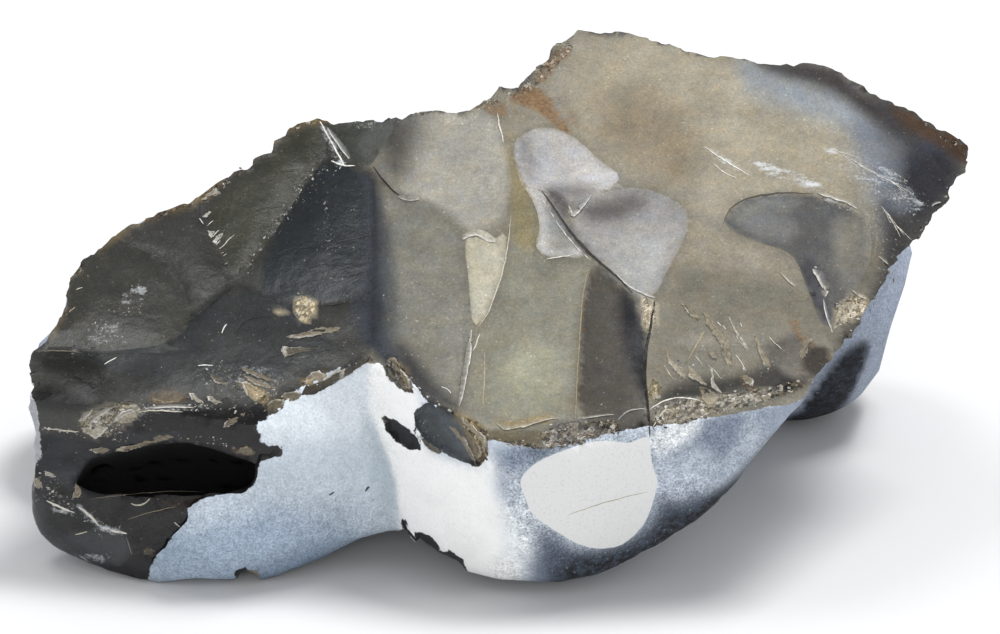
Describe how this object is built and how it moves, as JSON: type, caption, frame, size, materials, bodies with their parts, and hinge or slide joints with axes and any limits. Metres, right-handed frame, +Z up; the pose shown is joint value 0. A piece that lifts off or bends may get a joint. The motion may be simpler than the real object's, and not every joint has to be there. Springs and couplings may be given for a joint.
{
  "type": "rough flint nodule",
  "caption": "Rough dark flint nodule, broken open on a sloping face, with a chalky rind below, lying on small flat spots.",
  "frame": {"origin": "centre of the bounding box, on the surface that the stone lies on", "axes": "+Z up from the resting spots, +X along the stone's length, +Y away from the broken face, which leans back and faces -Y and up"},
  "size_m": [0.1519, 0.0869, 0.0679],
  "materials": {
    "flint": "glassy broken flint over a matt chalk rind"
  },
  "bodies": {
    "root": {"flint_stone": "flint"}
  },
  "joints": []
}
